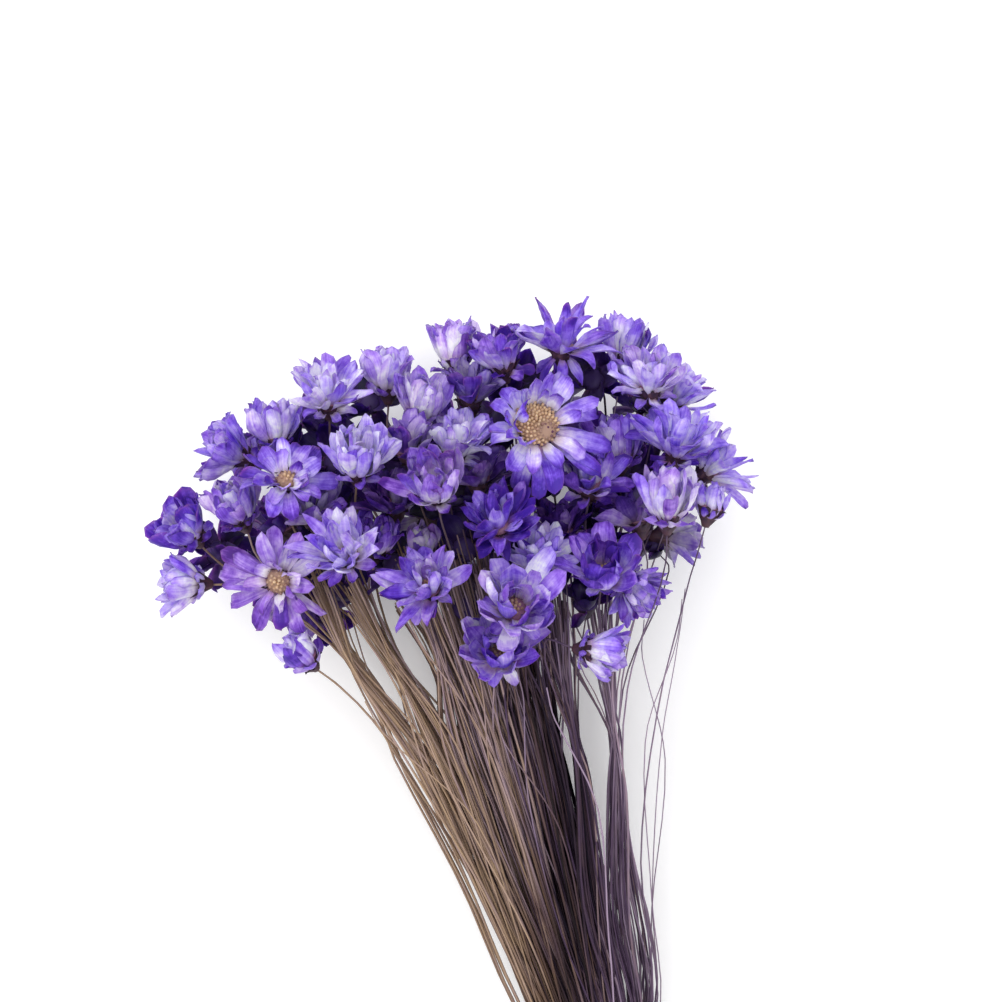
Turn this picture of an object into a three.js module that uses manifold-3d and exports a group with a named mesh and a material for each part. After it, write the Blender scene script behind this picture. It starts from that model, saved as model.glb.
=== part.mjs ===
// A bunch of small dried daisies, dyed violet, tied with twine and laid down on a surface.
// Millimetres, +Z up. The stems run along +Y from the tie to the flower heads, and the surface is z = 0.
// Until the last lines, x = 0 and y = 0 are at the middle of the tie.

import * as THREE from "three";
import { mergeVertices } from "three/addons/utils/BufferGeometryUtils.js";
import Module from "manifold-3d";

const wasm = await Module();
wasm.setup();

// The tie: three turns of twine
const BUNDLE_LEAN = 16;
const BUNDLE_RADIUS = 5.6;
const BUNDLE_SIDES = 12;
const TIE_TURNS = 3;
const TURN_WIDTH = 2.6;
const TWINE_THICK = 1.4;
const TURN_GROOVE = 0.5;
const CORE_LENGTH = TIE_TURNS * TURN_WIDTH + 2;

// The stems
const STEM_RADIUS = 0.55;
const STEM_SIDES = 3;
const STEM_NECK = 6;
const STEM_ROOM = 5;
const STEM_LOW = 0.4;
const STEM_HIGH = 0.78;
const GATHER_FROM = -30;
const GATHER = 0.16;
const SLOT_PITCH = 1.12;
const SLOTS_ACROSS = 1 / 12;
const SLOTS_DEEP = 1 / 5;
const TAIL_LENGTH = 62;
const TAIL_SPREAD = 1.45;
const TAIL_DEPTH = 0.85;
const TAIL_TRIM = 7;

// The flower heads
const HEAD_SIDES = 6;
const CALYX_DEPTH = 4.2;
const CALYX_NECK = 0.9;
const DISC_RADIUS = 2.9;
const DISC_RISE = 1.5;
const PETAL_THICK = 0.72;
const PETAL_RINGS = [
  { t: 0, wide: 0 },
  { t: 0.46, wide: 1 },
  { t: 0.8, wide: 0.72 },
  { t: 1, wide: 0 },
];

// Clearance between one node and the next, and between a petal and the surface
const GAP = 0.3;

// The forms a head has, with an outer and an inner layer of petals. A layer's petals leave the core
// at part of the disc's radius, rise from the plane of the disc, and turn further up by curl
// towards the tip, in degrees. Reach is part of the head's petal length.
const FORMS = {
  open: {
    width: 4.6,
    layers: [
      { petals: 6, root: 0.45, depth: 1.2, rise: 12, curl: -8, reach: 1 },
      { petals: 5, root: 0.3, depth: 0.3, rise: 40, curl: -12, reach: 0.86 },
    ],
  },
  half: {
    width: 4.2,
    layers: [
      { petals: 6, root: 0.55, depth: 1.3, rise: 42, curl: -6, reach: 1 },
      { petals: 4, root: 0.4, depth: 0.4, rise: 66, curl: 2, reach: 0.94 },
    ],
  },
  cup: {
    width: 4,
    layers: [
      { petals: 6, root: 0.66, depth: 1.4, rise: 56, curl: 12, reach: 1 },
      { petals: 3, root: 0.5, depth: 0.5, rise: 76, curl: 12, reach: 0.94 },
    ],
  },
  bud: {
    width: 3.4,
    layers: [
      { petals: 4, root: 0.6, depth: 1.4, rise: 60, curl: 42, reach: 1 },
      { petals: 3, root: 0.3, depth: 0.4, rise: 74, curl: 22, reach: 0.94 },
    ],
  },
  deep: {
    width: 4.6,
    layers: [
      { petals: 4, root: 0.5, depth: 1.3, rise: 40, curl: -4, reach: 1 },
      { petals: 3, root: 0.35, depth: 0.4, rise: 66, curl: 0, reach: 0.92 },
    ],
  },
};

// Every head: where the middle of its disc is, the way it faces in the plane of the surface (0 is +X,
// 90 is +Y), how far it turns up from that plane, its form and the length of its petals
const HEADS = [
  // Two on the underside, which the bunch rests on
  { at: [-66, 128, 9], faces: 140, up: -62, form: "half", petal: 9.5, rests: true },
  { at: [6, 134, 9], faces: 40, up: -62, form: "half", petal: 9.5, rests: true },
  // The near side, from the left edge to the right
  { at: [-87.6, 126.8, 28], faces: 130, up: 42, form: "cup", petal: 9.5 },
  { at: [-87.4, 117.2, 30], faces: 175, up: 15, form: "cup", petal: 8 },
  { at: [-69.2, 117.8, 40], faces: 240, up: 72, form: "open", petal: 11 },
  { at: [-64.2, 102.6, 36], faces: 130, up: 35, form: "bud", petal: 8.5 },
  { at: [-77.4, 131, 33], faces: 110, up: 28, form: "cup", petal: 9 },
  { at: [-78.6, 143.4, 25], faces: 135, up: 12, form: "half", petal: 9.5 },
  { at: [-71, 146.8, 25], faces: 92, up: 10, form: "cup", petal: 9 },
  { at: [-67.6, 138, 40], faces: 80, up: 55, form: "half", petal: 9 },
  { at: [-60, 154, 32], faces: 95, up: 30, form: "half", petal: 9.5 },
  { at: [-48, 157.6, 25], faces: 90, up: 8, form: "cup", petal: 9 },
  { at: [-53.6, 140.4, 42], faces: 88, up: 38, form: "cup", petal: 10.5 },
  { at: [-41.2, 151.6, 31], faces: 90, up: 28, form: "cup", petal: 9.5 },
  { at: [-34.2, 144, 36], faces: 80, up: 28, form: "half", petal: 9 },
  { at: [-37.8, 135.6, 46], faces: 100, up: 34, form: "cup", petal: 11 },
  { at: [-34.4, 162.8, 24], faces: 95, up: 5, form: "cup", petal: 9.5 },
  { at: [-24.6, 161.6, 31], faces: 100, up: 15, form: "half", petal: 9 },
  { at: [-12.8, 165, 32], faces: 88, up: 15, form: "open", petal: 11 },
  { at: [-18, 149, 42], faces: 60, up: 62, form: "open", petal: 11.5, disc: 4.2 },
  { at: [0.4, 163.6, 21], faces: 80, up: 0, form: "cup", petal: 9.5 },
  { at: [5, 157, 31], faces: 95, up: 24, form: "half", petal: 9.5 },
  { at: [10, 154.8, 24], faces: 60, up: 15, form: "half", petal: 8.5 },
  { at: [10.4, 144, 35], faces: 75, up: 20, form: "open", petal: 10.5 },
  { at: [17.2, 140, 29], faces: 45, up: 5, form: "half", petal: 10 },
  { at: [8, 131.2, 43], faces: 88, up: 16, form: "cup", petal: 11 },
  { at: [17, 132.6, 35], faces: 75, up: 10, form: "bud", petal: 6 },
  { at: [-4.8, 119.2, 42], faces: 85, up: 48, form: "cup", petal: 9.5 },
  { at: [1.2, 117, 36], faces: -45, up: 30, form: "half", petal: 7.5 },
  { at: [-6.8, 104, 42], faces: -10, up: 14, form: "half", petal: 9 },
  { at: [-22.6, 112.8, 49], faces: 85, up: 65, form: "half", petal: 10.5 },
  { at: [-25.2, 103.6, 43], faces: 90, up: 58, form: "half", petal: 10 },
  { at: [-18.2, 121.6, 40], faces: 80, up: 32, form: "half", petal: 9.5 },
  { at: [-39.2, 117, 47], faces: 110, up: 52, form: "half", petal: 10.5 },
  { at: [-55.6, 123, 45], faces: 110, up: 50, form: "half", petal: 10.5 },
  { at: [-49.6, 125, 37], faces: 80, up: 30, form: "cup", petal: 7.5 },
  { at: [-25.6, 129, 43], faces: 100, up: 45, form: "half", petal: 10 },
  { at: [-40.5, 125, 43], faces: 90, up: 30, form: "bud", petal: 5.5 },
  { at: [-7.2, 137, 36], faces: 85, up: 32, form: "half", petal: 9.5 },
  // Heads that show between them
  { at: [-62.8, 131, 35], faces: 100, up: 30, form: "deep", petal: 8 },
  { at: [-69.2, 128.4, 28], faces: 110, up: 20, form: "deep", petal: 8 },
  { at: [-12.5, 127.5, 29], faces: 90, up: 20, form: "deep", petal: 8 },
  { at: [-0.8, 143, 29], faces: 90, up: 15, form: "cup", petal: 10 },
  { at: [-43.6, 144, 37], faces: 100, up: 30, form: "deep", petal: 8 },
  { at: [-31.2, 155, 29], faces: 95, up: 20, form: "deep", petal: 8.5 },
  { at: [-46.2, 133, 35], faces: 95, up: 30, form: "deep", petal: 8 },
  { at: [-29.6, 138.4, 33], faces: 90, up: 25, form: "deep", petal: 8.5 },
  { at: [2.8, 130, 32], faces: 100, up: 10, form: "deep", petal: 9 },
  // The underside
  { at: [-67, 115, 19], faces: 220, up: -35, form: "deep", petal: 8.5 },
  { at: [-53, 124, 13], faces: 250, up: -60, form: "deep", petal: 9 },
  { at: [-53, 142, 13], faces: 110, up: -50, form: "deep", petal: 9 },
  { at: [-40, 130, 11], faces: 200, up: -75, form: "deep", petal: 9 },
  { at: [-36, 147, 14], faces: 100, up: -40, form: "deep", petal: 9 },
  { at: [-24, 136, 11], faces: 60, up: -70, form: "deep", petal: 9 },
  { at: [-29, 118, 13], faces: 270, up: -55, form: "deep", petal: 8.5 },
  { at: [-14, 150, 13], faces: 85, up: -40, form: "deep", petal: 9 },
  { at: [-9, 125, 13], faces: 300, up: -60, form: "deep", petal: 9 },
  { at: [9, 127, 24], faces: 10, up: -20, form: "deep", petal: 8 },
];

// Random numbers that are the same at each run
let seed = 20;

function random() {
  seed = (seed * 1664525 + 1013904223) % 4294967296;
  return seed / 4294967296;
}

function between(low, high) {
  return low + (high - low) * random();
}

function radians(degrees) {
  return THREE.MathUtils.degToRad(degrees);
}

// A geometry as a closed solid, with its shared corners merged and collapsed triangles dropped
function solidOf(geometry) {
  geometry.deleteAttribute("normal");
  geometry.deleteAttribute("uv");
  const merged = mergeVertices(geometry, 1e-4);
  const corners = merged.index.array;
  const kept = [];
  for (let i = 0; i < corners.length; i += 3) {
    const [a, b, c] = corners.slice(i, i + 3);
    if (a !== b && b !== c && c !== a) {
      kept.push(a, b, c);
    }
  }
  return new wasm.Manifold(new wasm.Mesh({
    numProp: 3,
    vertProperties: new Float32Array(merged.attributes.position.array),
    triVerts: new Uint32Array(kept),
  }));
}

function geometryOf(solid) {
  const mesh = solid.getMesh();
  const geometry = new THREE.BufferGeometry();
  geometry.setAttribute("position", new THREE.BufferAttribute(mesh.vertProperties, 3));
  geometry.setIndex(new THREE.BufferAttribute(mesh.triVerts, 1));
  return geometry;
}

// A solid with the box round it, to compare only neighbours
function obstacle(solid) {
  const { min, max } = solid.boundingBox();
  return { solid, box: new THREE.Box3(new THREE.Vector3(...min), new THREE.Vector3(...max)) };
}

function meets(one, other) {
  if (!one.box.intersectsBox(other.box)) {
    return false;
  }
  const common = one.solid.intersect(other.solid);
  const empty = common.isEmpty();
  common.delete();
  return !empty;
}

// The calyx, the disc it carries and the short neck that the stem comes up to, round local Z
function headCore(discRadius) {
  const profile = [
    new THREE.Vector2(0, -CALYX_DEPTH),
    new THREE.Vector2(CALYX_NECK, -CALYX_DEPTH),
    new THREE.Vector2(discRadius, 0),
    new THREE.Vector2(0, DISC_RISE),
  ];
  const core = new THREE.LatheGeometry(profile, HEAD_SIDES);
  core.rotateX(Math.PI / 2);
  return core;
}

// One petal: a ball with three sides and two rings, drawn out along an arc that leaves the core
// at an angle. The flat side faces the middle of the flower, and the keel is below.
function petal({ azimuth, root, depth, rise, curl, length, width, spare }) {
  const start = new THREE.Vector3(root, 0, -depth);
  const knee = start.clone().add(arm(rise, length * 0.5));
  const tip = knee.clone().add(arm(rise + curl, length * 0.5 + spare));
  const arc = new THREE.QuadraticBezierCurve3(start, knee, tip);
  const blade = new THREE.SphereGeometry(1, 3, 3);
  const place = blade.attributes.position;
  for (let i = 0; i < place.count; i += 1) {
    const { t, wide } = PETAL_RINGS[Math.round((Math.acos(place.getY(i)) / Math.PI) * 3)];
    const aside = Math.sign(Math.round(place.getZ(i) * 2));
    const point = arc.getPoint(t);
    const inward = arc.getTangent(t).cross(new THREE.Vector3(0, 1, 0));
    if (wide > 0) {
      point.y -= aside * ((width * wide) / 2 + spare);
      point.addScaledVector(inward, aside === 0 ? -PETAL_THICK - spare : spare);
    }
    place.setXYZ(i, point.x, point.y, point.z);
  }
  blade.rotateZ(azimuth);
  return blade;
}

function arm(rise, length) {
  return new THREE.Vector3(Math.cos(radians(rise)), 0, Math.sin(radians(rise))).multiplyScalar(length);
}

// The petals of one head before any is bent clear, each layer staggered to the last
function petalPlan(head) {
  const form = FORMS[head.form];
  const disc = head.disc ?? DISC_RADIUS;
  const turn = between(0, Math.PI * 2);
  return form.layers.flatMap((layer, level) => {
    return Array.from({ length: layer.petals }, (_, i) => ({
      azimuth: turn + ((i + level / 2) / layer.petals) * Math.PI * 2 + between(-0.1, 0.1),
      root: disc * layer.root,
      depth: layer.depth,
      rise: layer.rise + between(-4, 4),
      curl: layer.curl + between(-4, 4),
      length: head.petal * layer.reach + between(-0.4, 0.4),
      width: form.width,
      spare: 0,
    }));
  });
}

// How a petal that would cross a neighbour is bent: added rise in degrees, and part of its length
const BENDS = [
  [0, 1], [10, 1], [-10, 1], [20, 0.96], [-18, 0.92], [32, 0.94], [10, 0.82],
  [44, 0.92], [-12, 0.76], [24, 0.76], [0, 0.66], [52, 0.8], [34, 0.66], [14, 0.56],
];

// The place of a head: its origin on the disc, its Z the way it faces
function headMatrix(head, lift = 0) {
  const facing = new THREE.Vector3(
    Math.cos(radians(head.faces)) * Math.cos(radians(head.up)),
    Math.sin(radians(head.faces)) * Math.cos(radians(head.up)),
    Math.sin(radians(head.up)),
  );
  const turn = new THREE.Quaternion().setFromUnitVectors(new THREE.Vector3(0, 0, 1), facing);
  const place = new THREE.Vector3(...head.at);
  place.z += lift;
  return new THREE.Matrix4().compose(place, turn, new THREE.Vector3(1, 1, 1));
}

function placed(geometry, matrix) {
  const local = solidOf(geometry);
  const world = local.transform(matrix.elements);
  return { local, ...obstacle(world) };
}

// Heads with their place, core and plan; the two that carry the bunch are lowered to the surface
const heads = HEADS.map((head) => {
  const plan = petalPlan(head);
  let matrix = headMatrix(head);
  if (head.rests) {
    const lowest = Math.min(...plan.map((one) => placed(petal(one), matrix).box.min.z));
    matrix = headMatrix(head, -lowest);
  }
  const core = placed(headCore(head.disc ?? DISC_RADIUS), matrix);
  const facing = new THREE.Vector3(0, 0, 1).transformDirection(matrix);
  const middle = new THREE.Vector3().setFromMatrixPosition(matrix);
  return { ...head, plan, matrix, core, facing, middle, petals: [] };
});

// The tie's middle, and the directions along and across the bundle there
const tieVertexRadius = BUNDLE_RADIUS + GAP + TWINE_THICK;
const tieMiddle = new THREE.Vector3(0, 0, tieVertexRadius * Math.cos(Math.PI / BUNDLE_SIDES));
const bundleTurn = new THREE.Euler(0, 0, radians(BUNDLE_LEAN));
const along = new THREE.Vector3(0, 1, 0).applyEuler(bundleTurn);
const across = new THREE.Vector3(1, 0, 0).applyEuler(bundleTurn);

// Where each stem passes through the tie: spread like the heads, then pushed apart to lie side by side
function tieSlots() {
  const middle = heads.reduce((sum, head) => sum.add(head.middle), new THREE.Vector3());
  middle.divideScalar(heads.length);
  const slots = heads.map((head) => {
    const offset = head.middle.clone().sub(middle);
    return new THREE.Vector2(offset.dot(across) * SLOTS_ACROSS, offset.z * SLOTS_DEEP);
  });
  const limit = BUNDLE_RADIUS * Math.cos(Math.PI / BUNDLE_SIDES) - STEM_RADIUS;
  for (let round = 0; round < 200; round += 1) {
    for (const one of slots) {
      for (const other of slots) {
        const apart = one.clone().sub(other);
        const distance = apart.length();
        if (distance > 0 && distance < SLOT_PITCH) {
          apart.multiplyScalar((SLOT_PITCH - distance) / distance / 3);
          one.add(apart);
          other.sub(apart);
        }
      }
    }
    slots.forEach((slot) => slot.clampLength(0, limit));
  }
  return slots;
}

// The room a stem's line leaves to the cores of the other heads, up to what is enough
function roomAround(line, own) {
  const others = heads.filter((head) => head !== own);
  const cores = others.map((head) => head.middle.clone().addScaledVector(head.facing, -CALYX_DEPTH / 2));
  let room = STEM_ROOM;
  for (let i = 0; i <= 40; i += 1) {
    const point = line.getPoint(0.4 + (0.6 * i) / 40);
    room = Math.min(room, ...cores.map((core) => core.distanceTo(point)));
  }
  return room;
}

// The line of one stem: cut end, straight through the tie, two points on the way, neck, and up to
// just under the calyx. The stems of the leftmost heads are gathered in towards the others.
function stemLine(head, slot, bow) {
  const inTie = tieMiddle.clone().addScaledVector(across, slot.x);
  inTie.z += slot.y;
  const into = inTie.clone().addScaledVector(along, -CORE_LENGTH / 2 - 1);
  const outOf = inTie.clone().addScaledVector(along, CORE_LENGTH / 2 + 1);
  const cut = tieMiddle.clone().addScaledVector(along, -TAIL_LENGTH + head.trim);
  cut.addScaledVector(across, slot.x * TAIL_SPREAD + head.stray);
  cut.z += slot.y * TAIL_DEPTH;
  const end = head.middle.clone().addScaledVector(head.facing, -CALYX_DEPTH - GAP);
  const neck = end.clone().addScaledVector(head.facing, -STEM_NECK);
  const way = neck.clone().sub(outOf);
  const bend = bow.clone();
  bend.x += Math.max(0, GATHER_FROM - end.x) * GATHER;
  const low = outOf.clone().addScaledVector(way, STEM_LOW).addScaledVector(bend, 0.5);
  const high = outOf.clone().addScaledVector(way, STEM_HIGH).add(bend);
  return new THREE.CatmullRomCurve3([cut, into, outOf, low, high, neck, end]);
}

// A stem as a three-sided rod, carried along its line from ring to ring
function stemRod(line) {
  const steps = line.points.length - 1;
  const rod = new THREE.CylinderGeometry(STEM_RADIUS, STEM_RADIUS, 1, STEM_SIDES, steps);
  const place = rod.attributes.position;
  const rings = [];
  let side = across.clone();
  for (let k = 0; k <= steps; k += 1) {
    const inTie = k === 1 || k === 2;
    const ahead = inTie ? along : line.getTangent(k / steps);
    side = side.clone().addScaledVector(ahead, -side.dot(ahead)).normalize();
    rings.push({ middle: line.points[k], side, normal: side.clone().cross(ahead) });
  }
  for (let i = 0; i < place.count; i += 1) {
    const ring = rings[Math.round((place.getY(i) + 0.5) * steps)];
    const point = ring.middle.clone();
    point.addScaledVector(ring.side, place.getX(i));
    point.addScaledVector(ring.normal, place.getZ(i));
    place.setXYZ(i, point.x, point.y, point.z);
  }
  return rod;
}

// Bows that a stem tries, in widening circles, until it passes between the cores
function bows() {
  const list = [new THREE.Vector3()];
  for (const reach of [2.5, 5, 7.5, 10]) {
    for (let i = 0; i < 12; i += 1) {
      const angle = (i / 12) * Math.PI * 2;
      list.push(new THREE.Vector3(Math.cos(angle) * reach, 0, Math.sin(angle) * reach));
    }
  }
  return list;
}

// The stems, each on the first line that has room and crosses no other stem
function stemRods() {
  const slots = tieSlots();
  const choices = bows();
  const rods = [];
  heads.forEach((head, i) => {
    head.trim = between(0, TAIL_TRIM);
    head.stray = between(-0.3, 0.3);
    const lines = choices.map((bow) => stemLine(head, slots[i], bow));
    const ranked = lines.map((line) => ({ line, room: roomAround(line, head) }));
    ranked.sort((one, other) => other.room - one.room);
    const tried = ranked.map(({ line }) => obstacle(solidOf(stemRod(line))));
    const rod = tried.find((one) => !rods.some((other) => meets(one, other))) ?? tried[0];
    rods.push(rod);
  });
  return rods;
}

// The stems pressed together under the tie
function bundleCore() {
  const core = new THREE.CylinderGeometry(BUNDLE_RADIUS, BUNDLE_RADIUS, CORE_LENGTH, BUNDLE_SIDES);
  core.rotateY(Math.PI / BUNDLE_SIDES);
  core.rotateZ(radians(BUNDLE_LEAN));
  core.translate(...tieMiddle);
  return solidOf(core);
}

// Three turns of twine side by side, as one ring with a groove between the turns
function tieRing() {
  const inner = BUNDLE_RADIUS + GAP;
  const outer = tieVertexRadius;
  const half = (TIE_TURNS * TURN_WIDTH) / 2;
  const profile = [new THREE.Vector2(inner, -half)];
  for (let i = 0; i < TIE_TURNS; i += 1) {
    const from = -half + i * TURN_WIDTH;
    profile.push(new THREE.Vector2(outer - TURN_GROOVE, from + 0.05));
    profile.push(new THREE.Vector2(outer, from + TURN_WIDTH * 0.18));
    profile.push(new THREE.Vector2(outer, from + TURN_WIDTH * 0.82));
  }
  profile.push(new THREE.Vector2(outer - TURN_GROOVE, half));
  profile.push(new THREE.Vector2(inner, half));
  profile.push(new THREE.Vector2(inner, -half));
  const ring = new THREE.LatheGeometry(profile, BUNDLE_SIDES);
  ring.rotateY(Math.PI / BUNDLE_SIDES);
  return solidOf(ring);
}

// Whether a petal, grown by the clearance, meets the surface, a stem, a core or another petal
function petalClear(one, head, rods) {
  const grown = placed(petal({ ...one, spare: GAP }), head.matrix);
  const low = head.rests ? -0.01 : GAP;
  const real = placed(petal(one), head.matrix);
  if (real.box.min.z < low) {
    return false;
  }
  if (rods.some((rod) => meets(grown, rod))) {
    return false;
  }
  for (const other of heads) {
    if (other !== head && (meets(grown, other.core) || other.petals.some((p) => meets(grown, p)))) {
      return false;
    }
  }
  return true;
}

function growPetals(head, rods) {
  for (const planned of head.plan) {
    for (const [rise, part] of BENDS) {
      const one = { ...planned, rise: planned.rise + rise, length: planned.length * part };
      if (petalClear(one, head, rods)) {
        head.petals.push(placed(petal(one), head.matrix));
        break;
      }
    }
  }
}

const rods = stemRods();
heads.forEach((head) => growPetals(head, rods));

const petalLook = new THREE.MeshStandardMaterial({ color: 0x6a50c8, roughness: 0.75, metalness: 0 });
const stemLook = new THREE.MeshStandardMaterial({ color: 0x86725c, roughness: 0.8, metalness: 0 });
const tieLook = new THREE.MeshStandardMaterial({ color: 0xb49a70, roughness: 0.9, metalness: 0 });

const bunch = new THREE.Group();

heads.forEach((head, i) => {
  const whole = wasm.Manifold.union([head.core.local, ...head.petals.map((one) => one.local)]);
  const bloom = new THREE.Mesh(geometryOf(whole), petalLook.clone());
  bloom.name = `bloom_${String(i + 1).padStart(2, "0")}`;
  bloom.position.copy(head.middle);
  bloom.quaternion.setFromRotationMatrix(head.matrix);
  bunch.add(bloom);
});

const stems = new THREE.Mesh(
  geometryOf(wasm.Manifold.union([bundleCore(), ...rods.map((rod) => rod.solid)])),
  stemLook,
);
stems.name = "stems";
bunch.add(stems);

const tie = new THREE.Mesh(geometryOf(tieRing()), tieLook);
tie.name = "tie";
tie.position.copy(tieMiddle);
tie.rotation.copy(bundleTurn);
bunch.add(tie);

// The part's own origin is below the middle of its box, on the surface
const box = new THREE.Box3().setFromObject(bunch, true);
const middle = box.getCenter(new THREE.Vector3());
bunch.position.set(-middle.x, -middle.y, 0);

const group = new THREE.Group();
group.add(bunch);

export default group;
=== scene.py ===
# A bunch of small dried daisies, dyed violet, tied with twine and laid on a pale surface.
# Shapes are worked out in millimetres from the middle of the tie, with the stems along +Y.

import math
import random
from types import SimpleNamespace

import bmesh
import bpy
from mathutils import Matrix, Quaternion, Vector
from mathutils.bvhtree import BVHTree
from mathutils.geometry import interpolate_bezier
from mathutils.kdtree import KDTree


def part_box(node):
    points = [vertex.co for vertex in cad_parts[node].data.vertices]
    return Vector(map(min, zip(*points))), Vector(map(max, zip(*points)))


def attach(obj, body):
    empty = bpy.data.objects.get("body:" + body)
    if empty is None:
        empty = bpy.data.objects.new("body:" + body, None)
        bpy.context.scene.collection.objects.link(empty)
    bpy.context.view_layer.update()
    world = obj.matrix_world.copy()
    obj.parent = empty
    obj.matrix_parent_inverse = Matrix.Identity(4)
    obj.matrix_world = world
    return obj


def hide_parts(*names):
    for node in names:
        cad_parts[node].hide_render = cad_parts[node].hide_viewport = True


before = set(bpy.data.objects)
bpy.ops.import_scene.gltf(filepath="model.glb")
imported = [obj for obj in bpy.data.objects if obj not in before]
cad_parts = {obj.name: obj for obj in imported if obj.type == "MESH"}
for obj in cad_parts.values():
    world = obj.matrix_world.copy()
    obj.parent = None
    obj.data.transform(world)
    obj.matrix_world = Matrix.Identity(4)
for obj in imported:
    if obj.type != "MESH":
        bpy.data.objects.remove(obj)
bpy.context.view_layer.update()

# The surface, the light and the camera
# The bunch lies on plain white board. A wide soft light stands above it to the left, like a window,
# and the camera looks straight down from 560 mm, as in the photo.
MM = 0.001
VIEW_MIDDLE = (-25, 133.8, 36)
VIEW_WIDTH = 200.4
LENS = 100
SENSOR = 36
BOARD = (0.93, 0.93, 0.935, 1)
BOARD_DROP = 0.2
tie_low, tie_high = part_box("tie")
tie_spot = (tie_low + tie_high) / 2


def spot(x, y, z):
    """A place given from the middle of the tie, in the part's own frame."""
    return Vector((tie_spot.x + x * MM, tie_spot.y + y * MM, z * MM))


def new_material(name):
    """A material with its nodes, its links and its shader."""
    material = bpy.data.materials.new(name)
    material.use_nodes = True
    tree = material.node_tree
    return material, tree.nodes, tree.links, tree.nodes["Principled BSDF"]


board, nodes, links, shader = new_material("white_board")
shader.inputs["Base Color"].default_value = BOARD
shader.inputs["Roughness"].default_value = 0.9
shader.inputs["Specular IOR Level"].default_value = 0.2
shader.inputs["Emission Color"].default_value = (1, 1, 1, 1)
shader.inputs["Emission Strength"].default_value = 0.16
floor_shape = bmesh.new()
bmesh.ops.create_grid(floor_shape, x_segments=1, y_segments=1, size=2)
floor_mesh = bpy.data.meshes.new("floor")
floor_shape.to_mesh(floor_mesh)
floor_shape.free()
floor_mesh.materials.append(board)
floor = bpy.data.objects.new("floor", floor_mesh)
floor.location.z = -BOARD_DROP * MM
bpy.context.scene.collection.objects.link(floor)

world = bpy.data.worlds.new("studio")
bpy.context.scene.world = world
world.use_nodes = True
world.node_tree.nodes["Background"].inputs["Color"].default_value = (1, 1, 1, 1)
world.node_tree.nodes["Background"].inputs["Strength"].default_value = 0.9
bpy.context.scene.view_settings.view_transform = "Standard"

window = bpy.data.lights.new("window", "AREA")
window.shape = "RECTANGLE"
window.size = 1.5
window.size_y = 1.5
window.energy = 8.5
window_light = bpy.data.objects.new("window", window)
window_light.location = spot(-240, 380, 850)
window_light.rotation_mode = "QUATERNION"
towards = spot(*VIEW_MIDDLE) - window_light.location
window_light.rotation_quaternion = towards.to_track_quat("-Z", "Y")
bpy.context.scene.collection.objects.link(window_light)

camera_data = bpy.data.cameras.new("photo")
camera_data.lens = LENS
camera_data.sensor_width = SENSOR
camera = bpy.data.objects.new("photo", camera_data)
camera.location = spot(*VIEW_MIDDLE) + Vector((0, 0, VIEW_WIDTH * LENS / SENSOR * MM))
bpy.context.scene.collection.objects.link(camera)
bpy.context.scene.camera = camera

# The stems
# Thin, dry, wiry flower stalks, dyed a little where the violet ran down. There is one under each
# flower, and many more end between the flowers. The twine presses them into a round bundle.
BUNDLE_LEAN = math.radians(16)
BUNDLE_RADIUS = 5.4
SLOT_PITCH = 0.44
SLOT_ROUNDS = 30
FAN_MIDDLE = -27
FAN_A_SLOT = 6
DEPTH_A_SLOT = 5
TIE_LENGTH = 11.8
TIE_HEIGHT = 7.05
CALYX_DEPTH = 4.2
NECK = 6
TAIL_LENGTH = 62
TAIL_UNEVEN = 7
TAIL_SPREAD = 1.45
TAIL_FLATNESS = 0.85
STEM_SIDES = 5
WAVE = 0.85
FINE_WAVE = 0.4
random.seed(20)

# How many steps each stretch of a stem has, from its cut end, and how many points at its ends don't wave
STRETCH_STEPS = (3, 2, 4, 4, 5, 6, 4)
STILL_POINTS = 6

# How thick a stem is at its cut end, how much it thins to the other, and how uneven it is, as parts
CUT_THICKNESS = 1.08
TAPER = 0.34
UNEVEN = (0.93, 1.07)

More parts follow.
